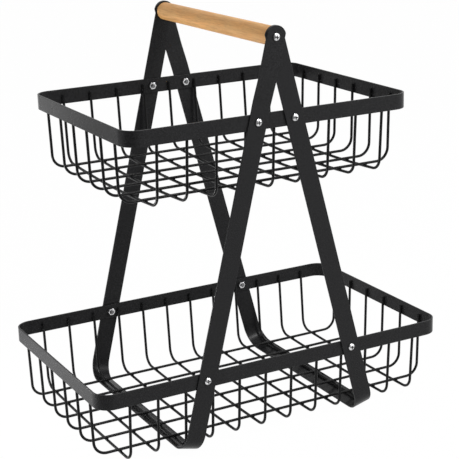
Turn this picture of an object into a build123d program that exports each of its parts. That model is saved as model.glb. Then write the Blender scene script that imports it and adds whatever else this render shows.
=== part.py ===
from build123d import *
from math import asin, atan2, copysign, cos, radians, sin, sqrt, tan
import os

# A two-tier wire basket on two bent steel straps, with a wooden handle.
# Millimetres. X runs along the baskets, Y from front to back and Z up.
# The origin is on the floor, below the centre of the baskets.

# Baskets, measured over the outside
basket_depth = 238.0
lower_length = 400.0
upper_length = 318.0

# Rim bands
rim_height = 15.8
rim_thickness = 1.8
rim_corner_radius = 17.5
rim_edge_radius = 0.4

# Wires: the cross wires hang lowest and the long wires lie on them. The cross
# wires bow down, so that the floor is lowest along its middle. The straps hold
# up the lower floor, and the upper one bows further. The bend depth is from the
# rim top to the centre line of the cross wires at their bends. A cross wire that
# would touch a nut is welded beside it.
wire_diameter = 2.9
wire_end_radius = 0.5
weld_gap = 0.05
lower_cross_count = 12
upper_cross_count = 9
long_count = 6
cross_margin = 33.0
long_margin = 33.5
cross_bend_radius = 13.0
long_bend_radius = 14.0
bend_depth = 77.55
lower_bow = 1.5
upper_bow = 3.6
bow_margin = 17.0
cross_lean = 4.0
long_lean = 1.6
wire_tip_share = 0.65
nut_to_wire_gap = 1.0

# Straps: each is a U whose legs lean to the handle
handle_height = 410.9
foot_spacing = 209.0
strap_width = 20.0
strap_thickness = 1.8
strap_edge_radius = 0.4
strap_end_radius = 11.0
foot_inner_radius = 19.2
step_clearance = 2.5
step_length = 22.0
step_bend_radius = 25.0
foot_gap = 0.5

# Wooden handle, its axis this far above the upper rim
handle_rise = 72.35
handle_diameter = 19.0
handle_edge_radius = 1.2

# Machine screws through strap and rim, and wood screws in the handle
screw_diameter = 4.0
screw_clearance = 0.25
thread_gap = 0.05
head_diameter = 7.4
head_height = 2.5
head_edge_height = 0.9
bolt_overhang = 1.6
handle_screw_grip = 25.0
screw_tip_radius = 0.4
recess_length = 4.4
recess_width = 1.0
recess_depth = 1.5
pilot_extra = 1.5

# Hexagon nuts
nut_flats = 7.0
nut_height = 3.2
nut_corner_drop = 0.5

# How far a cutting tool runs past what it cuts
overrun = 2.0

os.makedirs("parts", exist_ok=True)


def save(part, name):
    part.label = name
    export_step(part, "parts/" + name + ".step")


# Levels and lines that follow from the sizes above
half_depth = basket_depth / 2
lean_angle = atan2(foot_spacing / 2, handle_height)
lean_sin = sin(lean_angle)
lean_cos = cos(lean_angle)
wire_radius = wire_diameter / 2

# Each strap stands on its inner long edge, and its rounded corners shorten it by this much
edge_loss = strap_edge_radius * (lean_cos + lean_sin - 1)
foot_reach = (handle_height + edge_loss - strap_width / 2 * lean_sin) / lean_cos
strap_reach = foot_reach - strap_thickness
strap_rise = strap_width * lean_sin + strap_thickness * lean_cos - 2 * edge_loss

# The upper face of the run under the basket slopes up outwards. The cross wires
# that pass over it clear the face, and the long wires clear its raised edge.
run_middle = strap_reach * lean_sin
run_half = strap_width / 2 * lean_cos + wire_radius
lower_pitch = (lower_length - 2 * cross_margin) / (lower_cross_count - 1)
lowest_levels = [strap_rise + foot_gap - weld_gap - wire_radius]
for number in range(lower_cross_count):
    place = abs(number - (lower_cross_count - 1) / 2) * lower_pitch
    if abs(place - run_middle) < run_half:
        rise = wire_radius + foot_gap - strap_reach + place * lean_sin
        lowest_levels.append(handle_height + rise / lean_cos)
lower_top = max(lowest_levels) + lower_bow + bend_depth
upper_top = handle_height - handle_rise

# Each cross wire has a straight start beside its bends, then one wide arc between
tip_depth = rim_height * (1 - wire_tip_share)
cross_tip_reach = half_depth - rim_thickness - weld_gap - wire_radius
cross_run_reach = cross_tip_reach - (bend_depth - tip_depth) * tan(radians(cross_lean))
bow_reach = cross_run_reach - bow_margin


def bow_radius(bow):
    """Radius of the arc whose middle lies this far below the bends."""
    return bow_reach * (cross_run_reach - bow_reach / 2) / bow


def screw_level(rim_top):
    """Height of the screws of the tier whose rim ends at rim_top."""
    return rim_top - rim_height / 2


def screw_offset(rim_top):
    """Distance of those screws from the middle, on the centre line of the leaning legs."""
    return (handle_height - screw_level(rim_top)) * tan(lean_angle)


def cross_place(number, length, cross_count, rim_top):
    """Place of a cross wire along its basket: evenly spaced, but clear of the nuts."""
    pitch = (length - 2 * cross_margin) / (cross_count - 1)
    place = (number - (cross_count - 1) / 2) * pitch
    past_screw = abs(place) - screw_offset(rim_top)
    clearance = nut_flats / sqrt(3) + nut_to_wire_gap + wire_radius
    if abs(past_screw) < clearance:
        beside = screw_offset(rim_top) + copysign(clearance, past_screw)
        return copysign(beside, place)
    return place


tiers = (
    ("upper", upper_length, upper_top, upper_cross_count, upper_bow),
    ("lower", lower_length, lower_top, lower_cross_count, lower_bow),
)

# Rims: a flat band bent to a rounded rectangle, drilled for the screws
for tier, length, rim_top, cross_count, bow in tiers:
    with BuildPart() as rim:
        with BuildSketch(Plane.XY.offset(rim_top - rim_height)):
            RectangleRounded(length, basket_depth, rim_corner_radius)
            RectangleRounded(
                length - 2 * rim_thickness,
                basket_depth - 2 * rim_thickness,
                rim_corner_radius - rim_thickness,
                mode=Mode.SUBTRACT,
            )
        extrude(amount=rim_height)
        levels = rim.edges().group_by(Axis.Z)
        fillet(levels[0] + levels[-1], rim_edge_radius)
        with BuildSketch(Plane.XZ):
            with Locations(
                (-screw_offset(rim_top), screw_level(rim_top)),
                (screw_offset(rim_top), screw_level(rim_top)),
            ):
                Circle(screw_diameter / 2 + screw_clearance)
        extrude(amount=half_depth + overrun, both=True, mode=Mode.SUBTRACT)
    save(rim.part, tier + "_rim")

# Cross wires: from front to back, both ends welded inside the rim
for tier, length, rim_top, cross_count, bow in tiers:
    tip_level = rim_top - tip_depth
    bend_level = rim_top - bend_depth
    arc_drop = cross_run_reach * tan(asin(bow_reach / bow_radius(bow)))
    for number in range(cross_count):
        place = cross_place(number, length, cross_count, rim_top)
        with BuildPart() as cross_wire:
            with BuildLine(Plane.YZ.offset(place)) as cross_route:
                FilletPolyline(
                    (-cross_tip_reach, tip_level),
                    (-cross_run_reach, bend_level),
                    (0, bend_level - arc_drop),
                    (cross_run_reach, bend_level),
                    (cross_tip_reach, tip_level),
                    radius=[cross_bend_radius, bow_radius(bow), cross_bend_radius],
                )
            start = Plane(origin=cross_route.wire() @ 0, z_dir=cross_route.wire() % 0)
            with BuildSketch(start):
                Circle(wire_radius)
            sweep()
            tips = cross_wire.faces().filter_by(GeomType.PLANE).edges()
            fillet(tips, wire_end_radius)
        save(cross_wire.part, tier + "_cross_wire_" + str(number + 1))

# Long wires: along the basket, lying on the cross wires
for tier, length, rim_top, cross_count, bow in tiers:
    tip_level = rim_top - tip_depth
    arc_centre = rim_top - bend_depth - bow + bow_radius(bow)
    tip_reach = length / 2 - rim_thickness - weld_gap - wire_radius
    pitch = (basket_depth - 2 * long_margin) / (long_count - 1)
    for number in range(long_count):
        place = (number - (long_count - 1) / 2) * pitch
        cross_level = arc_centre - sqrt(bow_radius(bow)**2 - place**2)
        run_level = cross_level + wire_diameter + weld_gap
        run_reach = tip_reach - (tip_level - run_level) * tan(radians(long_lean))
        with BuildPart() as long_wire:
            with BuildLine(Plane.XZ.offset(-place)) as long_route:
                FilletPolyline(
                    (-tip_reach, tip_level),
                    (-run_reach, run_level),
                    (run_reach, run_level),
                    (tip_reach, tip_level),
                    radius=long_bend_radius,
                )
            start = Plane(origin=long_route.wire() @ 0, z_dir=long_route.wire() % 0)
            with BuildSketch(start):
                Circle(wire_radius)
            sweep()
            tips = long_wire.faces().filter_by(GeomType.PLANE).edges()
            fillet(tips, wire_end_radius)
        save(long_wire.part, tier + "_long_wire_" + str(number + 1))

# Straps: one shape, the right one turned half a turn about the vertical.
# One leg is straight and meets the handle. The other steps out by a strap's
# thickness above the upper rim, to pass outside the other strap's straight leg.
step_end = strap_width / 2 / tan(lean_angle) + step_clearance
leg_end = strap_end_radius + overrun
hole_levels = [handle_height, screw_level(upper_top), screw_level(lower_top)]
for side, turn in (("left", 1), ("right", -1)):
    across = (turn * lean_cos, 0, -lean_sin)
    with BuildPart() as strap:
        with BuildSketch(Plane((0, 0, handle_height), x_dir=(0, turn, 0), z_dir=across)):
            with BuildLine():
                FilletPolyline(
                    (-half_depth - strap_thickness, leg_end),
                    (-half_depth - strap_thickness, -step_end),
                    (-half_depth, -step_end - step_length),
                    (-half_depth, -strap_reach),
                    (half_depth, -strap_reach),
                    (half_depth, leg_end),
                    radius=[step_bend_radius, step_bend_radius, foot_inner_radius, foot_inner_radius],
                )
                offset(amount=strap_thickness, side=Side.RIGHT)
            make_face()
        extrude(amount=strap_width / 2, both=True)
        sides = strap.faces().sort_by(Axis((0, 0, 0), across))
        fillet(sides[0].edges() + sides[-1].edges(), strap_edge_radius)
        leg_face = Plane((0, 0, handle_height), x_dir=across, z_dir=(0, -turn, 0))
        with BuildSketch(leg_face):
            Rectangle(
                strap_width + 2 * overrun,
                leg_end + overrun,
                align=(Align.CENTER, Align.MIN),
            )
            Circle(strap_end_radius, mode=Mode.SUBTRACT)
            with Locations([(0, (level - handle_height) / lean_cos) for level in hole_levels]):
                Circle(screw_diameter / 2 + screw_clearance)
        extrude(amount=basket_depth, both=True, mode=Mode.SUBTRACT)
    save(strap.part, side + "_strap")

# Handle: a dowel between the inner legs, drilled at both ends for its screws
with BuildPart() as wood_handle:
    with BuildSketch(Plane((0, -half_depth, handle_height), z_dir=(0, 1, 0))):
        Circle(handle_diameter / 2)
    extrude(amount=basket_depth)
    fillet(wood_handle.faces().filter_by(GeomType.PLANE).edges(), handle_edge_radius)
    for way in (-1, 1):
        with BuildSketch(Plane((0, way * half_depth, handle_height), z_dir=(0, -way, 0))):
            Circle(screw_diameter / 2 + thread_gap)
        extrude(amount=handle_screw_grip + pilot_extra, mode=Mode.SUBTRACT)
save(wood_handle.part, "wood_handle")

# Screws: a domed head with a cross recess, its underside on the outermost strap
screw_groups = (
    ("handle_screws", [0], handle_height, 2 * strap_thickness, handle_screw_grip),
) + tuple(
    (
        tier + "_basket_screws",
        [-screw_offset(rim_top), screw_offset(rim_top)],
        screw_level(rim_top),
        strap_thickness,
        rim_thickness + nut_height + bolt_overhang,
    )
    for tier, length, rim_top, cross_count, bow in tiers
)
for name, places, level, stack, grip in screw_groups:
    with BuildPart() as screws:
        for place in places:
            for way in (-1, 1):
                seat = (place, way * (half_depth + stack), level)
                with BuildSketch(Plane(seat, x_dir=(1, 0, 0), z_dir=(0, 0, way))):
                    with BuildLine():
                        Polyline(
                            (0, head_height),
                            (0, -stack - grip),
                            (screw_diameter / 2 - screw_tip_radius, -stack - grip),
                            (screw_diameter / 2, screw_tip_radius - stack - grip),
                            (screw_diameter / 2, 0),
                            (head_diameter / 2, 0),
                            (head_diameter / 2, head_edge_height),
                        )
                        TangentArc(
                            (head_diameter / 2, head_edge_height),
                            (0, head_height),
                            tangent=(1, 0),
                            tangent_from_first=False,
                        )
                    make_face()
                revolve(axis=Axis(seat, (0, way, 0)))
        for place in places:
            for way in (-1, 1):
                crown = (place, way * (half_depth + stack + head_height), level)
                with BuildSketch(Plane(crown, z_dir=(0, way, 0))):
                    Rectangle(recess_length, recess_width)
                    Rectangle(recess_width, recess_length)
                extrude(amount=-recess_depth, mode=Mode.SUBTRACT)
    save(screws.part, name)

# Nuts: on the inside of the rims, their outer corners turned down
for tier, length, rim_top, cross_count, bow in tiers:
    with BuildPart() as nuts:
        for place in (-screw_offset(rim_top), screw_offset(rim_top)):
            for way in (-1, 1):
                seat = (place, way * (half_depth - rim_thickness), screw_level(rim_top))
                with BuildSketch(Plane(seat, x_dir=(1, 0, 0), z_dir=(0, -way, 0))):
                    RegularPolygon(nut_flats / 2, 6, major_radius=False)
                    Circle(screw_diameter / 2 + thread_gap, mode=Mode.SUBTRACT)
                extrude(amount=nut_height)
        for place in (-screw_offset(rim_top), screw_offset(rim_top)):
            for way in (-1, 1):
                seat = (place, way * (half_depth - rim_thickness), screw_level(rim_top))
                with BuildSketch(Plane(seat, x_dir=(1, 0, 0), z_dir=(0, 0, -way))):
                    with BuildLine():
                        Polyline(
                            (nut_flats / 2, nut_height),
                            (nut_flats / 2 + overrun, nut_height),
                            (nut_flats / 2 + overrun, nut_height - nut_corner_drop * overrun),
                            close=True,
                        )
                    make_face()
                revolve(axis=Axis(seat, (0, -way, 0)), mode=Mode.SUBTRACT)
    save(nuts.part, tier + "_basket_nuts")
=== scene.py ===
"""Two-tier wire basket with a wooden handle: finishes, welds, bolts and studio."""

import math

import bmesh
import bpy
from mathutils import Matrix, Vector


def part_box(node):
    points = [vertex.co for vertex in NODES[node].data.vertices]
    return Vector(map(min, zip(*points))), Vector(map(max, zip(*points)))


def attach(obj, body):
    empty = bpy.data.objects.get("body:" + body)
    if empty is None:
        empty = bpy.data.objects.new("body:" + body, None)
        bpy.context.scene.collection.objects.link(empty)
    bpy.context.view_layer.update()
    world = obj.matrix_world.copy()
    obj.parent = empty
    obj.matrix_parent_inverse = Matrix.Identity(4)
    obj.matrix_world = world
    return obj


bl_info = {
    "name": "Tiered Wire Basket",
    "version": (1, 0, 0),
    "blender": (4, 5, 0),
    "location": "View3D > Sidebar > Wire Basket",
    "description": "Finishes, welds, bolts and studio for a two-tier wire basket",
    "category": "Add Mesh",
}

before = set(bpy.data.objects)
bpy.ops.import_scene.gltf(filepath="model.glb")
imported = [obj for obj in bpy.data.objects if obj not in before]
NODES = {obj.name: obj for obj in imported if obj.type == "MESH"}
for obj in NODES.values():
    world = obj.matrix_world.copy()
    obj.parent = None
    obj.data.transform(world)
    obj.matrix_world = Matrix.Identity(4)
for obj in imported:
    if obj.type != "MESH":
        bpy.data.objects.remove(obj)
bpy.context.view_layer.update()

MM = 0.001
TIERS = ("upper", "lower")
CROSS_COUNT = {"upper": 9, "lower": 12}
LONG_COUNT = 6
BODY = "root"

# The camera of the photograph: yaw from +Y towards +X, pitch below the horizon
IMAGE_SIZE = 459
FOCAL_PIXELS = 1345.46
SENSOR_WIDTH = 36.0
CAMERA_YAW = 0.4889
CAMERA_PITCH = 0.2912
CAMERA_ROLL = -0.0299
CAMERA_PLACE = (-0.64012, -1.22028, 0.60289)

# Lamps: name, place, target, side and the setting that holds the power
LAMPS = (
    ("top_light", (0.43, -0.95, 1.5), (0.0, 0.0, 0.1), 0.5, "top_power"),
    ("front_light", (1.2, -0.9, 0.9), (0.0, 0.0, 0.2), 0.8, "front_power"),
    ("back_light", (-0.21, 0.36, 0.3), (-0.16, 0.08, 0.33), 0.12, "back_power"),
    ("low_light", (-0.45, 0.15, 0.04), (-0.2, 0.0, 0.07), 0.2, "low_power"),
)

# Where gloss sees the studio darkest, as a turn from the back (+Y) to the left (-X),
# and how far the shade reaches from there to the back and to the front
DARK_TURN = math.radians(140)
SHADE_TO_BACK = math.radians(175)
SHADE_TO_FRONT = math.radians(55)
# Distances from the basket at which the shade on the floor starts and is full
SHADE_AWAY = (0.32, 0.5)


# Settings that a user would change


class CoatSettings(bpy.types.PropertyGroup):
    """Black powder coat on the bands, straps and wires."""

    colour: bpy.props.FloatVectorProperty(
        name="Colour",
        description="Colour of the powder coat",
        subtype="COLOR",
        size=3,
        min=0.0,
        max=1.0,
        default=(0.0106, 0.0106, 0.0111),
    )
    # Painted shade: the wires and their welds get a darker copy of the band's coat
    wire_shaded_share: bpy.props.FloatProperty(
        name="Wire depth",
        description="Colour of the coat on the wires as a share of that on the bands",
        min=0.0,
        max=1.0,
        default=0.45,
        subtype="FACTOR",
    )
    gloss_level: bpy.props.FloatProperty(
        name="Gloss level",
        description="How strongly the coat reflects straight on",
        min=0.0,
        max=1.0,
        default=0.11,
        subtype="FACTOR",
    )
    smooth_roughness: bpy.props.FloatProperty(
        name="Smooth roughness",
        description="Roughness where the coat has flowed out smooth",
        min=0.0,
        max=1.0,
        default=0.27,
        subtype="FACTOR",
    )
    grainy_roughness: bpy.props.FloatProperty(
        name="Grainy roughness",
        description="Roughness where the coat is grainy",
        min=0.0,
        max=1.0,
        default=0.36,
        subtype="FACTOR",
    )
    grain_size: bpy.props.FloatProperty(
        name="Grain size",
        description="Distance between the grains of the coat",
        min=0.0001,
        max=0.01,
        default=0.0008,
        unit="LENGTH",
    )
    grain_height: bpy.props.FloatProperty(
        name="Grain height",
        description="Height of the grains of the coat",
        min=0.0,
        max=0.001,
        default=0.000008,
        unit="LENGTH",
    )


class WoodSettings(bpy.types.PropertyGroup):
    """Oiled wood of the handle."""

    pale: bpy.props.FloatVectorProperty(
        name="Pale wood",
        description="Colour of the wood between the streaks",
        subtype="COLOR",
        size=3,
        min=0.0,
        max=1.0,
        default=(0.655, 0.37, 0.136),
    )
    dark: bpy.props.FloatVectorProperty(
        name="Dark wood",
        description="Colour of the late wood in the streaks",
        subtype="COLOR",
        size=3,
        min=0.0,
        max=1.0,
        default=(0.466, 0.231, 0.073),
    )
    warm: bpy.props.FloatVectorProperty(
        name="Warm wood",
        description="Colour of the redder patches between the streaks",
        subtype="COLOR",
        size=3,
        min=0.0,
        max=1.0,
        default=(0.695, 0.35, 0.11),
    )
    ring_pitch: bpy.props.FloatProperty(
        name="Ring pitch",
        description="Distance between the growth rings",
        min=0.0005,
        max=0.02,
        default=0.004082,
        unit="LENGTH",
    )
    pore_length: bpy.props.FloatProperty(
        name="Pore length",
        description="Length of the short dark pores along the handle",
        min=0.001,
        max=0.05,
        default=0.009,
        unit="LENGTH",
    )
    roughness: bpy.props.FloatProperty(
        name="Roughness",
        description="Roughness of the oiled wood",
        min=0.0,
        max=1.0,
        default=0.5,
        subtype="FACTOR",
    )


class ZincSettings(bpy.types.PropertyGroup):
    """Bright zinc plating of the screws, bolts and nuts."""

    colour: bpy.props.FloatVectorProperty(
        name="Colour",
        description="Colour of the plating",
        subtype="COLOR",
        size=3,
        min=0.0,
        max=1.0,
        default=(0.78, 0.78, 0.79),
    )
    roughness: bpy.props.FloatProperty(
        name="Roughness",
        description="Roughness of the plating",
        min=0.0,
        max=1.0,
        default=0.28,
        subtype="FACTOR",
    )
    # Painted shade: the colour painted into the screws' recesses and along their heads' edges,
    # and round the nuts' bores and feet; the thread ends darken towards it too
    shade: bpy.props.FloatVectorProperty(
        name="Shaded colour",
        description="Colour in the recesses, along the edges and on the threads",
        subtype="COLOR",
        size=3,
        min=0.0,
        max=1.0,
        default=(0.05, 0.05, 0.052),
    )


class WeldSettings(bpy.types.PropertyGroup):
    """Small welds where the wires cross and where they meet the bands."""

    crossing_reach: bpy.props.FloatProperty(
        name="Crossing weld reach",
        description="Distance that a weld reaches from the middle of a crossing",
        min=0.0005,
        max=0.005,
        default=0.002,
        unit="LENGTH",
    )
    crossing_height: bpy.props.FloatProperty(
        name="Crossing weld height",
        description="Height of a crossing weld above and below the contact",
        min=0.0002,
        max=0.003,
        default=0.0008,
        unit="LENGTH",
    )
    rim_reach: bpy.props.FloatProperty(
        name="Rim weld reach",
        description="Distance that a rim weld reaches beside the middle of its wire",
        min=0.0005,
        max=0.005,
        default=0.0022,
        unit="LENGTH",
    )
    rim_length: bpy.props.FloatProperty(
        name="Rim weld length",
        description="Length of a rim weld along its wire",
        min=0.001,
        max=0.012,
        default=0.0068,
        unit="LENGTH",
    )
    rim_height: bpy.props.FloatProperty(
        name="Rim weld height",
        description="Height of a rim weld above the band",
        min=0.0002,
        max=0.003,
        default=0.0008,
        unit="LENGTH",
    )


class StudioSettings(bpy.types.PropertyGroup):
    """Floor, surround and lamps of the studio."""

    floor_size: bpy.props.FloatProperty(
        name="Floor size",
        description="Side of the square floor",
        min=1.0,
        max=60.0,
        default=24.0,
        unit="LENGTH",
    )
    floor_colour: bpy.props.FloatVectorProperty(
        name="Floor colour",
        description="Colour of the pale floor",
        subtype="COLOR",
        size=3,
        min=0.0,
        max=1.0,
        default=(0.8, 0.8, 0.8),
    )
    floor_glow: bpy.props.FloatProperty(
        name="Floor glow",
        description="Share of plain white in the floor as the camera sees it",
        min=0.0,
        max=1.0,
        default=0.985,
        subtype="FACTOR",
    )
    surround: bpy.props.FloatProperty(
        name="Surround",
        description="Strength of the even light from all round",
        min=0.0,
        max=2.0,
        default=0.55,
    )
    dark_side: bpy.props.FloatProperty(
        name="Dark side",
        description="How much darker gloss sees the front left of the studio",
        min=0.0,
        max=1.0,
        default=0.95,
        subtype="FACTOR",
    )
    top_power: bpy.props.FloatProperty(
        name="Top light",
        description="Power of the wide light overhead",
        min=0.0,
        max=500.0,
        default=17.5,
        unit="POWER",
    )
    front_power: bpy.props.FloatProperty(
        name="Front light",
        description="Power of the wide light at the front right",
        min=0.0,
        max=500.0,
        default=7.5,
        unit="POWER",
    )
    back_power: bpy.props.FloatProperty(
        name="Back light",
        description="Power of the small light behind the upper left end",
        min=0.0,
        max=500.0,
        default=0.04,
        unit="POWER",
    )
    low_power: bpy.props.FloatProperty(
        name="Low light",
        description="Power of the small low light beside the left end",
        min=0.0,
        max=500.0,
        default=3.4,
        unit="POWER",
    )


def settings(context, group):
    """The property group of this scene with that name."""
    return getattr(context.scene, "wire_basket_" + group)


# Material building blocks


class Shading:
    """A shader node tree that is put together one node at a time."""

    def __init__(self, tree):
        self.tree = tree

    def node(self, kind, **values):
        """A new node with its properties set."""
        made = self.tree.nodes.new(kind)
        for key, value in values.items():
            setattr(made, key, value)
        return made

    def link(self, out, into):
        """Links an output to an input."""
        self.tree.links.new(out, into)

    def fill(self, socket, value):
        """Links a value into a socket, or sets it there."""
        if isinstance(value, bpy.types.NodeSocket):
            self.link(value, socket)
        elif socket.type == "RGBA":
            socket.default_value = (*value, 1.0)
        else:
            socket.default_value = value

    def join(self, first, second, operation="ADD"):
        """Two values joined by a math operation."""
        made = self.node("ShaderNodeMath", operation=operation)
        self.fill(made.inputs[0], first)
        self.fill(made.inputs[1], second)
        return made.outputs["Value"]

    def absolute(self, value):
        """A value without its sign."""
        return self.join(value, 0.0, "ABSOLUTE")

    def span(self, value, source, target=(0.0, 1.0), way="SMOOTHSTEP"):
        """A value mapped from one range to another, with smooth ends or LINEAR."""
        made = self.node("ShaderNodeMapRange", interpolation_type=way)
        self.link(value, made.inputs["Value"])
        for key, number in zip(("From Min", "From Max", "To Min", "To Max"), (*source, *target)):
            made.inputs[key].default_value = number
        return made.outputs["Result"]

    def vector(self, operation, first, second=(0.0, 0.0, 0.0), out="Vector"):
        """The result of a vector math operation."""
        made = self.node("ShaderNodeVectorMath", operation=operation)
        self.fill(made.inputs[0], first)
        self.fill(made.inputs[1], second)
        return made.outputs[out]


class Finish(Shading):
    """A new material with its main shader, on Object coordinates."""

    def __init__(self, name):
        self.material = bpy.data.materials.new(name)
        self.material.use_nodes = True
        super().__init__(self.material.node_tree)
        self.shader = self.tree.nodes["Principled BSDF"]
        self.place = self.node("ShaderNodeTexCoord").outputs["Object"]

    def stretched(self, waves):
        """Coordinates with that many units a metre along X, Y and Z."""
        mapping = self.node("ShaderNodeMapping", vector_type="TEXTURE")
        mapping.inputs["Scale"].default_value = [1 / value for value in waves]
        self.link(self.place, mapping.inputs["Vector"])
        return mapping.outputs["Vector"]

    def noise(self, scale, detail=2.0, rough=0.5, vector=None, out="Fac"):
        """Even noise whose features are 1 / scale apart."""
        made = self.node("ShaderNodeTexNoise")
        made.inputs["Scale"].default_value = scale
        made.inputs["Detail"].default_value = detail
        made.inputs["Roughness"].default_value = rough
        self.link(self.place if vector is None else vector, made.inputs["Vector"])
        return made.outputs[out]

    def streaks(self, waves, detail=2.0, rough=0.5, out="Fac"):
        """Noise with that many waves a metre along X, Y and Z."""
        return self.noise(1.0, detail, rough, self.stretched(waves), out)

    def blend(self, share, first, second):
        """A colour between two colours."""
        mix = self.node("ShaderNodeMix", data_type="RGBA")
        for value, socket in zip((share, first, second), (mix.inputs[0], *mix.inputs[6:8])):
            self.fill(socket, value)
        return mix.outputs[2]

    def bump(self, height, distance, strength=1.0, below=None):
        """A bump from a height from 0 to 1, that distance high."""
        made = self.node("ShaderNodeBump")
        made.inputs["Distance"].default_value = distance
        made.inputs["Strength"].default_value = strength
        self.link(height, made.inputs["Height"])
        if below is not None:
            self.link(below, made.inputs["Normal"])
        return made.outputs["Normal"]

    def set(self, **values):
        """Sets or links inputs of the shader."""
        for key, value in values.items():
            self.fill(self.shader.inputs[key.replace("_", " ")], value)


# Powder coat: slow waves a metre, their height and strength, the grain's detail and
# roughness, and which part of each shows as patches and as lighter specks
FLOW_WAVES = 45.0
FLOW_HEIGHT = 0.2 * MM
FLOW_STRENGTH = 0.12
FLOW_PATCH = (0.3, 0.7)
GRAIN_DETAIL = 3.0
GRAIN_ROUGHNESS = 0.6
GRAIN_SPECK = (0.42, 0.7)
SPECK_LIGHTER = 2.2
GRAINY_PATCH = (0.0, 0.8)


def coat_finish(context, name, depth=1.0):
    """Satin black powder coat with a fine grain, its colour times the depth, a share below 1
    that paints shade onto the coat.
    """
    powder = settings(context, "coat")
    base = [depth * value for value in powder.colour]
    lighter = [SPECK_LIGHTER * value for value in base]
    finish = Finish(name)
    grain = finish.noise(1 / powder.grain_size, GRAIN_DETAIL, GRAIN_ROUGHNESS)
    flow = finish.noise(FLOW_WAVES)
    speck = finish.span(grain, GRAIN_SPECK)
    grainy = finish.join(finish.span(flow, FLOW_PATCH), speck, "MULTIPLY")
    roughness = (powder.smooth_roughness, powder.grainy_roughness)
    waves = finish.bump(flow, FLOW_HEIGHT, FLOW_STRENGTH)
    finish.set(
        Base_Color=finish.blend(speck, base, lighter),
        Roughness=finish.span(grainy, GRAINY_PATCH, roughness),
        Normal=finish.bump(grain, powder.grain_height, 1.0, waves),
        Specular_IOR_Level=powder.gloss_level,
    )
    return finish.material


def shaded_wire_finish(context, name):
    """The same coat on the wires, with its colour darkened as painted shade."""
    return coat_finish(context, name, settings(context, "coat").wire_shaded_share)


# Growth rings: the pith's place from the middle of the handle, the waves a metre and
# the reach in which they wander from round, and their stretch along the handle (Y)
PITH_ASIDE = Vector((0.034, 0.0, -0.021))
WANDER_WAVES = (26.0, 3.2, 26.0)
WANDER_DETAIL = 1.5
WANDER_REACH = 5.2 * MM
RING_STRETCH = 0.02
RING_DISTORTION = 1.2
RING_DETAIL = 2.0
RING_DETAIL_SCALE = 1.5
LATE_PART, LATE_SHARE = (0.35, 1.0), 0.2

# Streaks, fibres, patches and pores: waves a metre along X, Y and Z, their detail, the
# part of the noise that shows, and how much dark wood it adds
STREAK_WAVES, STREAK_DETAIL = (420.0, 24.0, 420.0), (3.0, 0.6)
STREAK_PART, STREAK_SHARE = (0.35, 0.68), 0.38
FIBRE_WAVES, FIBRE_DETAIL = (900.0, 45.0, 900.0), (4.0, 0.65)
FIBRE_PART, FIBRE_SHARE = (0.35, 0.7), 0.5
PATCH_WAVES = (130.0, 38.0, 130.0)
PATCH_PART = (0.35, 0.65)
PORE_WAVES_ACROSS, PORE_DETAIL = 1900.0, 1.0
PORE_PART, PORE_SHARE = (0.62, 0.7), 0.4
PORE_DEPTH = 0.45

# Surface of the wood: its relief and gloss, and the part of the fibres over which the
# roughness changes, by how much from the setting
WOOD_RELIEF = 0.05 * MM
WOOD_RELIEF_STRENGTH = 0.6
WOOD_GLOSS = 0.4
DULL_PART = (0.3, 0.7)
DULLER = (-0.06, 0.08)

# Scale of a wave texture whose waves lie 1 metre apart
WAVE_SCALE = 0.1 * math.pi


def growth_rings(finish, pitch):
    """Late wood of the growth rings, which bend slowly about a far pith."""
    low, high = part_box("wood_handle")
    pith = (low + high) / 2 + PITH_ASIDE
    wander = finish.streaks(WANDER_WAVES, WANDER_DETAIL, out="Color")
    shift = finish.node("ShaderNodeVectorMath", operation="SCALE")
    finish.link(wander, shift.inputs[0])
    shift.inputs["Scale"].default_value = WANDER_REACH
    moved = finish.vector("ADD", finish.place, shift.outputs[0])
    from_pith = finish.node("ShaderNodeMapping", vector_type="POINT")
    from_pith.inputs["Location"].default_value = (-pith.x, 0.0, -pith.z)
    from_pith.inputs["Scale"].default_value = (1.0, RING_STRETCH, 1.0)
    finish.link(moved, from_pith.inputs["Vector"])
    rings = finish.node(
        "ShaderNodeTexWave", wave_type="RINGS", rings_direction="Y", wave_profile="SAW"
    )
    rings.inputs["Scale"].default_value = WAVE_SCALE / pitch
    rings.inputs["Distortion"].default_value = RING_DISTORTION
    rings.inputs["Detail"].default_value = RING_DETAIL
    rings.inputs["Detail Scale"].default_value = RING_DETAIL_SCALE
    finish.link(from_pith.outputs["Vector"], rings.inputs["Vector"])
    return rings.outputs["Fac"]


def wood_finish(context, name):
    """Pale oiled wood with growth rings, streaks, fine fibres and short pores."""
    wood = settings(context, "wood")
    finish = Finish(name)
    rings = growth_rings(finish, wood.ring_pitch)
    fibre = finish.streaks(FIBRE_WAVES, *FIBRE_DETAIL)
    streak = finish.streaks(STREAK_WAVES, *STREAK_DETAIL)
    patch = finish.streaks(PATCH_WAVES)
    pore_waves = (PORE_WAVES_ACROSS, 1 / wood.pore_length, PORE_WAVES_ACROSS)
    pore = finish.span(finish.streaks(pore_waves, PORE_DETAIL), PORE_PART)
    tone = finish.join(
        finish.span(rings, LATE_PART, (0.0, LATE_SHARE)),
        finish.span(streak, STREAK_PART, (0.0, STREAK_SHARE)),
    )
    tone = finish.join(tone, finish.span(fibre, FIBRE_PART, (0.0, FIBRE_SHARE)))
    between = finish.blend(finish.span(patch, PATCH_PART), wood.pale, wood.warm)
    colour = finish.blend(tone, between, wood.dark)
    darker = [PORE_DEPTH * value for value in wood.dark]
    roughness = [wood.roughness + change for change in DULLER]
    relief = finish.join(fibre, pore, "SUBTRACT")
    finish.set(
        Base_Color=finish.blend(finish.join(pore, PORE_SHARE, "MULTIPLY"), colour, darker),
        Roughness=finish.span(fibre, DULL_PART, roughness),
        Normal=finish.bump(relief, WOOD_RELIEF, WOOD_RELIEF_STRENGTH),
        Specular_IOR_Level=WOOD_GLOSS,
    )
    return finish.material


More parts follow.
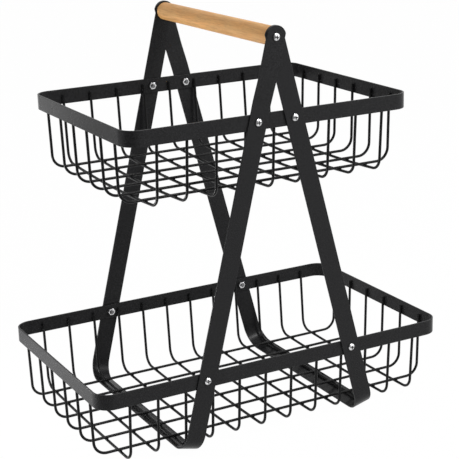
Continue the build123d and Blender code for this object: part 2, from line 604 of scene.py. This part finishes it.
# Zinc: blotches and tool marks a metre, how dull a blotch is, over which part of the
# blotches the colour and the roughness change, and the roughness from the setting
BLOTCH_WAVES = 700.0
BLOTCH_DULL = 0.8
BLOTCH_PART = (0.4, 0.75)
BLOTCH_ROUGH_PART = (0.3, 0.7)
BLOTCH_ROUGHER = (-0.06, 0.1)
MARK_WAVES = 4000.0
MARK_HEIGHT = 0.01 * MM
MARK_STRENGTH = 0.5


def zinc_finish(context, name):
    """Bright zinc with faint blotches and fine tool marks: the finish and its colour."""
    zinc = settings(context, "zinc")
    finish = Finish(name)
    blotch = finish.noise(BLOTCH_WAVES)
    duller = [BLOTCH_DULL * value for value in zinc.colour]
    plating = finish.blend(finish.span(blotch, BLOTCH_PART), zinc.colour, duller)
    roughness = [zinc.roughness + change for change in BLOTCH_ROUGHER]
    finish.set(
        Base_Color=plating,
        Roughness=finish.span(blotch, BLOTCH_ROUGH_PART, roughness),
        Normal=finish.bump(finish.noise(MARK_WAVES), MARK_HEIGHT, MARK_STRENGTH),
        Metallic=1.0,
    )
    return finish, plating


def about_axes(finish, low, high):
    """Distances across and up from the nearest screw's axis, and in from the outside.

    The axes run front to back, in pairs that lie equally far from the middle.
    """
    radius = (high.z - low.z) / 2
    parts = finish.node("ShaderNodeSeparateXYZ")
    finish.link(finish.place, parts.inputs[0])
    aside = finish.absolute(parts.outputs["X"])
    across = finish.join(aside, high.x - radius, "SUBTRACT")
    upward = finish.join(parts.outputs["Z"], (low.z + high.z) / 2, "SUBTRACT")
    deep = finish.join(high.y, finish.absolute(parts.outputs["Y"]), "SUBTRACT")
    return finish.absolute(across), finish.absolute(upward), deep


def from_axis(finish, across, upward):
    """Distance from an axis, from the distances across and up."""
    squares = [finish.join(value, 2.0, "POWER") for value in (across, upward)]
    return finish.join(finish.join(*squares), 0.5, "POWER")


# Screws: distances over which the painted shade changes across and along an arm of the cross
# recess, down into it and out to the edge of the head, and down to the darker thread end
RECESS_WIDTH = (0.5 * MM, 0.68 * MM)
RECESS_REACH = (2.2 * MM, 2.35 * MM)
RECESS_DEPTH = (1.7 * MM, 1.8 * MM)
HEAD_EDGE, EDGE_SHADE = (3.2 * MM, 3.55 * MM), 0.75
THREAD_START, THREAD_SHADE = (4.0 * MM, 4.2 * MM), 0.8
THREAD_PITCH = 0.7 * MM
THREAD_HEIGHT = 0.3 * MM


def screw_finish(context, node):
    """Zinc with painted shade in the cross recess, a painted shadow and dark reflection along
    the head edge, and a darker thread end.
    """
    finish, plating = zinc_finish(context, node + "_finish")
    across, upward, deep = about_axes(finish, *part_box(node))
    beside_arm = finish.join(across, upward, "MINIMUM")
    along_arm = finish.join(across, upward, "MAXIMUM")
    # Painted shade in the cross recess
    recess = finish.join(
        finish.span(beside_arm, RECESS_WIDTH, (1.0, 0.0)),
        finish.span(along_arm, RECESS_REACH, (1.0, 0.0)),
        "MULTIPLY",
    )
    recess = finish.join(recess, finish.span(deep, RECESS_DEPTH, (1.0, 0.0)), "MULTIPLY")
    # Painted shadow and painted dark reflection along the head's edge
    edge = finish.span(from_axis(finish, across, upward), HEAD_EDGE, (0.0, EDGE_SHADE))
    thread = finish.span(deep, THREAD_START)
    turns = finish.node("ShaderNodeTexWave", wave_type="BANDS", bands_direction="Y")
    turns.inputs["Scale"].default_value = WAVE_SCALE / THREAD_PITCH
    finish.link(finish.place, turns.inputs["Vector"])
    height = finish.join(turns.outputs["Fac"], thread, "MULTIPLY")
    shade = finish.join(recess, edge, "MAXIMUM")
    shade = finish.join(shade, finish.join(thread, THREAD_SHADE, "MULTIPLY"), "MAXIMUM")
    finish.set(
        Base_Color=finish.blend(shade, plating, settings(context, "zinc").shade),
        Normal=finish.bump(height, THREAD_HEIGHT),
    )
    return finish.material


# Nuts: distances over which the painted shadow changes out from the bore and in from the band
NUT_BORE, BORE_SHADE = (2.2 * MM, 2.6 * MM), 0.9
NUT_FOOT, FOOT_SHADE = (0.1 * MM, 0.6 * MM), 0.8


def nut_finish(context, node):
    """Zinc with a painted shadow round the bore and along the foot on the band."""
    finish, plating = zinc_finish(context, node + "_finish")
    across, upward, deep = about_axes(finish, *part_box(node))
    # Painted shadow round the bore and where the nut meets the band
    bore = finish.span(from_axis(finish, across, upward), NUT_BORE, (BORE_SHADE, 0.0))
    foot = finish.span(deep, NUT_FOOT, (FOOT_SHADE, 0.0))
    shade = finish.join(bore, foot, "MAXIMUM")
    finish.set(Base_Color=finish.blend(shade, plating, settings(context, "zinc").shade))
    return finish.material


FINISHES = {"black_coat": coat_finish, "wire_coat": shaded_wire_finish, "wood": wood_finish}


def finish_for(context, kind):
    """The material of that kind, made once."""
    name = kind + "_finish"
    return bpy.data.materials.get(name) or FINISHES[kind](context, name)


def give(name, material):
    """Gives a CAD node one material."""
    materials = NODES[name].data.materials
    materials.clear()
    materials.append(material)


def dress(context, names, kind):
    """Gives CAD nodes the finish of that kind."""
    for name in names:
        give(name, finish_for(context, kind))


def new_piece(context, name, shape, kind):
    """A smooth piece from a bmesh, riding on the body, in the finish of that kind."""
    mesh = bpy.data.meshes.new(name)
    bmesh.ops.recalc_face_normals(shape, faces=shape.faces)
    for face in shape.faces:
        face.smooth = True
    shape.to_mesh(mesh)
    shape.free()
    piece = bpy.data.objects.new(name, mesh)
    context.scene.collection.objects.link(piece)
    mesh.materials.append(finish_for(context, kind))
    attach(piece, BODY)


# Pieces


class BASKET_OT_straps(bpy.types.Operator):
    """Black coat on the two bent straps"""

    bl_idname = "wire_basket.straps"
    bl_label = "Straps"

    def execute(self, context):
        dress(context, ["left_strap", "right_strap"], "black_coat")
        return {"FINISHED"}


class BASKET_OT_rims(bpy.types.Operator):
    """Black coat on the two rim bands"""

    bl_idname = "wire_basket.rims"
    bl_label = "Rims"

    def execute(self, context):
        dress(context, [tier + "_rim" for tier in TIERS], "black_coat")
        return {"FINISHED"}


def wire_names(tier, way):
    """Names of the cross or long wires of a tier."""
    count = CROSS_COUNT[tier] if way == "cross" else LONG_COUNT
    return ["%s_%s_wire_%d" % (tier, way, number + 1) for number in range(count)]


class BASKET_OT_wires(bpy.types.Operator):
    """Black coat on the wires of both baskets"""

    bl_idname = "wire_basket.wires"
    bl_label = "Wires"

    def execute(self, context):
        for tier in TIERS:
            for way in ("cross", "long"):
                dress(context, wire_names(tier, way), "wire_coat")
        return {"FINISHED"}


# Segments of a weld bead, around it and from end to end
BEAD_AROUND = 8
BEAD_ALONG = 5


def add_bead(shape, centre, reach):
    """A rounded bead with the given half sizes along X, Y and Z."""
    place = Matrix.Translation(centre) @ Matrix.Diagonal((*reach, 1.0))
    bmesh.ops.create_uvsphere(
        shape, u_segments=BEAD_AROUND, v_segments=BEAD_ALONG, radius=1.0, matrix=place
    )


class BASKET_OT_welds(bpy.types.Operator):
    """Beads where the wires cross and where their tips meet the bands"""

    bl_idname = "wire_basket.welds"
    bl_label = "Welds"

    def execute(self, context):
        weld = settings(context, "weld")
        crossing = (weld.crossing_reach, weld.crossing_reach, weld.crossing_height)
        half_length = weld.rim_length / 2
        on_side = (weld.rim_reach, weld.rim_height, half_length)
        on_end = (weld.rim_height, weld.rim_reach, half_length)
        for tier in TIERS:
            floor = bmesh.new()
            rim = bmesh.new()
            crosses = [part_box(name) for name in wire_names(tier, "cross")]
            longs = [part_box(name) for name in wire_names(tier, "long")]
            for low, high in crosses:
                x = (low.x + high.x) / 2
                for long_low, long_high in longs:
                    y = (long_low.y + long_high.y) / 2
                    add_bead(floor, (x, y, long_low.z), crossing)
                for y in (low.y, high.y):
                    add_bead(rim, (x, y, high.z - half_length), on_side)
            for low, high in longs:
                y = (low.y + high.y) / 2
                for x in (low.x, high.x):
                    add_bead(rim, (x, y, high.z - half_length), on_end)
            new_piece(context, tier + "_floor_welds", floor, "wire_coat")
            new_piece(context, tier + "_rim_welds", rim, "wire_coat")
        return {"FINISHED"}


class BASKET_OT_handle(bpy.types.Operator):
    """Oiled wood on the handle"""

    bl_idname = "wire_basket.handle"
    bl_label = "Handle"

    def execute(self, context):
        dress(context, ["wood_handle"], "wood")
        return {"FINISHED"}


class BASKET_OT_fasteners(bpy.types.Operator):
    """Zinc plating on the screws, bolts and nuts"""

    bl_idname = "wire_basket.fasteners"
    bl_label = "Screws, bolts and nuts"

    def execute(self, context):
        for name in ("handle_screws", "upper_basket_screws", "lower_basket_screws"):
            give(name, screw_finish(context, name))
        for name in ("upper_basket_nuts", "lower_basket_nuts"):
            give(name, nut_finish(context, name))
        return {"FINISHED"}


# Studio


def white_background(shading, place, dark_side):
    """Share and strength of plain white for rays from the camera, gloss and glass.

    Gloss sees it darker round the left of the studio, most of all at the front left.
    """
    path = shading.node("ShaderNodeLightPath")
    gloss = path.outputs["Is Glossy Ray"]
    share = shading.join(path.outputs["Is Camera Ray"], gloss, "MAXIMUM")
    share = shading.join(share, path.outputs["Is Transmission Ray"], "MAXIMUM")
    level = shading.vector("MULTIPLY", place, (1.0, 1.0, 0.0))
    darkest = (-math.sin(DARK_TURN), math.cos(DARK_TURN), 0.0)
    beside = (math.cos(DARK_TURN), math.sin(DARK_TURN), 0.0)
    turn = shading.join(
        shading.vector("DOT_PRODUCT", level, beside, out="Value"),
        shading.vector("DOT_PRODUCT", level, darkest, out="Value"),
        "ARCTAN2",
    )
    to_back = shading.span(turn, (SHADE_TO_BACK, 0.0), (0.0, dark_side), "LINEAR")
    to_front = shading.span(turn, (-SHADE_TO_FRONT, 0.0), (0.0, dark_side), "LINEAR")
    away = shading.span(shading.vector("LENGTH", level, out="Value"), SHADE_AWAY)
    shade = shading.join(shading.join(to_back, to_front, "MINIMUM"), away, "MULTIPLY")
    shade = shading.join(shade, gloss, "MULTIPLY")
    return share, shading.join(1.0, shade, "SUBTRACT")


def floor_finish(studio):
    """Pale floor, near white to the camera, that keeps the basket's shadow."""
    finish = Finish("studio_floor_finish")
    finish.set(Base_Color=studio.floor_colour, Roughness=1.0, Specular_IOR_Level=0.0)
    share, strength = white_background(finish, finish.place, studio.dark_side)
    glow = finish.node("ShaderNodeEmission")
    finish.link(strength, glow.inputs["Strength"])
    both = finish.node("ShaderNodeMixShader")
    finish.link(finish.join(share, studio.floor_glow, "MULTIPLY"), both.inputs["Fac"])
    finish.link(finish.shader.outputs["BSDF"], both.inputs[1])
    finish.link(glow.outputs["Emission"], both.inputs[2])
    finish.link(both.outputs["Shader"], finish.tree.nodes["Material Output"].inputs["Surface"])
    return finish.material


def surround_world(studio):
    """Even light from all round, plain white where it is seen or mirrored."""
    world = bpy.data.worlds.new("studio_surround")
    world.use_nodes = True
    shading = Shading(world.node_tree)
    back = shading.tree.nodes["Background"]
    shading.fill(back.inputs["Color"], (1.0, 1.0, 1.0))
    place = shading.node("ShaderNodeTexCoord").outputs["Generated"]
    share, strength = white_background(shading, place, studio.dark_side)
    mix = shading.node("ShaderNodeMix")
    shading.fill(mix.inputs["Factor"], share)
    shading.fill(mix.inputs["A"], studio.surround)
    shading.fill(mix.inputs["B"], strength)
    shading.link(mix.outputs["Result"], back.inputs["Strength"])
    return world


def wide_light(name, place, target, side, power):
    """A square lamp of that side at a place, turned to a target."""
    lamp = bpy.data.lights.new(name, "AREA")
    lamp.shape = "SQUARE"
    lamp.size = side
    lamp.energy = power
    light = bpy.data.objects.new(name, lamp)
    light.location = place
    aim = Vector(target) - Vector(place)
    light.rotation_euler = aim.to_track_quat("-Z", "Y").to_euler()
    light.visible_camera = False
    bpy.context.scene.collection.objects.link(light)


def photo_camera():
    """The camera at the photograph's place, turn and focal length."""
    camera = bpy.data.cameras.new("photo_camera")
    camera.sensor_fit = "HORIZONTAL"
    camera.sensor_width = SENSOR_WIDTH
    camera.lens = SENSOR_WIDTH * FOCAL_PIXELS / IMAGE_SIZE
    ahead = Vector(
        (
            math.sin(CAMERA_YAW) * math.cos(CAMERA_PITCH),
            math.cos(CAMERA_YAW) * math.cos(CAMERA_PITCH),
            -math.sin(CAMERA_PITCH),
        )
    )
    level = Vector((math.cos(CAMERA_YAW), -math.sin(CAMERA_YAW), 0.0))
    above = level.cross(ahead)
    right = math.cos(CAMERA_ROLL) * level + math.sin(CAMERA_ROLL) * above
    up = math.cos(CAMERA_ROLL) * above - math.sin(CAMERA_ROLL) * level
    turn = Matrix((right, up, -ahead)).transposed()
    seat = bpy.data.objects.new("photo_camera", camera)
    seat.matrix_world = Matrix.Translation(CAMERA_PLACE) @ turn.to_4x4()
    bpy.context.scene.collection.objects.link(seat)
    bpy.context.scene.camera = seat


class BASKET_OT_studio(bpy.types.Operator):
    """White floor, soft light and the camera"""

    bl_idname = "wire_basket.studio"
    bl_label = "Studio"

    def execute(self, context):
        studio = settings(context, "studio")
        shape = bmesh.new()
        bmesh.ops.create_grid(shape, x_segments=1, y_segments=1, size=studio.floor_size / 2)
        mesh = bpy.data.meshes.new("studio_floor")
        shape.to_mesh(mesh)
        shape.free()
        mesh.materials.append(floor_finish(studio))
        floor = bpy.data.objects.new("studio_floor", mesh)
        context.scene.collection.objects.link(floor)
        context.scene.world = surround_world(studio)
        for name, place, target, side, power in LAMPS:
            wide_light(name, place, target, side, getattr(studio, power))
        photo_camera()
        context.scene.view_settings.view_transform = "Standard"
        return {"FINISHED"}


# Panel and registration


class BASKET_PT_panel(bpy.types.Panel):
    """The steps of the wire basket, in order"""

    bl_idname = "BASKET_PT_panel"
    bl_label = "Wire Basket"
    bl_space_type = "VIEW_3D"
    bl_region_type = "UI"
    bl_category = "Wire Basket"

    def draw(self, context):
        for step in STEPS:
            self.layout.operator(step.bl_idname)


GROUPS = {
    "coat": CoatSettings,
    "wood": WoodSettings,
    "zinc": ZincSettings,
    "weld": WeldSettings,
    "studio": StudioSettings,
}
STEPS = (
    BASKET_OT_straps,
    BASKET_OT_rims,
    BASKET_OT_wires,
    BASKET_OT_welds,
    BASKET_OT_handle,
    BASKET_OT_fasteners,
    BASKET_OT_studio,
)


def register():
    """Adds the settings, the steps and the panel to Blender."""
    for name, group in GROUPS.items():
        bpy.utils.register_class(group)
        setattr(bpy.types.Scene, "wire_basket_" + name, bpy.props.PointerProperty(type=group))
    for step in STEPS:
        bpy.utils.register_class(step)
    bpy.utils.register_class(BASKET_PT_panel)


def unregister():
    """Takes the panel, the steps and the settings out of Blender again."""
    bpy.utils.unregister_class(BASKET_PT_panel)
    for step in reversed(STEPS):
        bpy.utils.unregister_class(step)
    for name, group in GROUPS.items():
        delattr(bpy.types.Scene, "wire_basket_" + name)
        bpy.utils.unregister_class(group)


def main():
    """Makes the basket's pieces in order."""
    register()
    for step in STEPS:
        family, action = step.bl_idname.split(".")
        getattr(getattr(bpy.ops, family), action)()


if __name__ == "__main__":
    main()
